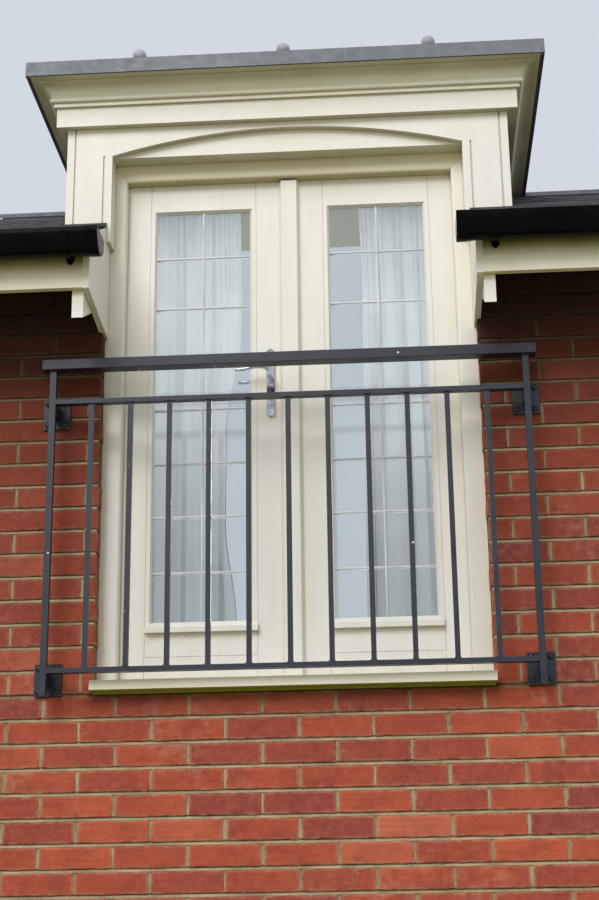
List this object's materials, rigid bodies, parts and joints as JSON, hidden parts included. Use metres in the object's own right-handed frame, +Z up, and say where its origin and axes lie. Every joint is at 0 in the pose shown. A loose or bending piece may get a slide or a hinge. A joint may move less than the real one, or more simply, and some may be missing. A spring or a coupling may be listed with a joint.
{
  "type": "french_door_bay_with_juliet_balcony",
  "caption": "Brick facade bay with glazed French doors in a dormer, moulded timber surround, lead roof, eaves and a steel juliet balcony",
  "frame": {"origin": "foot of the wall, middle of its thickness and of the doorway", "axes": "X right along the wall, Y into the building, Z up"},
  "size_m": [2.465, 1.485, 2.856],
  "materials": {
    "brick": "rough",
    "painted_timber": "satin",
    "bare_timber": "matte",
    "plaster": "matte",
    "glass": "clear",
    "lead": "matte",
    "slate": "matte",
    "black_plastic": "gloss",
    "balcony_metal": "gloss",
    "chrome": "polished",
    "curtain": "matte"
  },
  "bodies": {
    "root": {"wall_below_sill": "brick", "wall_piers": "brick", "inner_plaster": "plaster", "wall_plates": "bare_timber", "door_sill": "painted_timber", "inner_threshold": "bare_timber", "frame_jambs": "painted_timber", "frame_head": "painted_timber", "left_leaf": "painted_timber", "right_leaf": "painted_timber", "glazing_beads": "painted_timber", "door_glass": "glass", "weather_bars": "painted_timber", "cover_strip": "painted_timber", "handle_plates": "chrome", "handle_levers": "chrome", "hinges": "chrome", "pilasters": "painted_timber", "arch_board": "painted_timber", "tympanum": "painted_timber", "frieze": "painted_timber", "cornice": "painted_timber", "roof_deck": "bare_timber", "lead_roof": "lead", "roll_caps": "lead", "dormer_cheeks": "slate", "dormer_ceiling": "plaster", "slates": "slate", "roof_boards": "bare_timber", "rafters": "bare_timber", "ridge_tiles": "slate", "fascia_boards": "painted_timber", "eaves_end_boards": "painted_timber", "rafter_feet": "painted_timber", "gutters": "black_plastic", "gutter_brackets": "black_plastic", "balcony_posts": "balcony_metal", "balusters": "balcony_metal", "bottom_rail": "balcony_metal", "upper_rail": "balcony_metal", "handrail": "balcony_metal", "wall_brackets": "balcony_metal", "curtain_track": "painted_timber", "left_curtain": "curtain", "right_curtain": "curtain"}
  },
  "joints": []
}
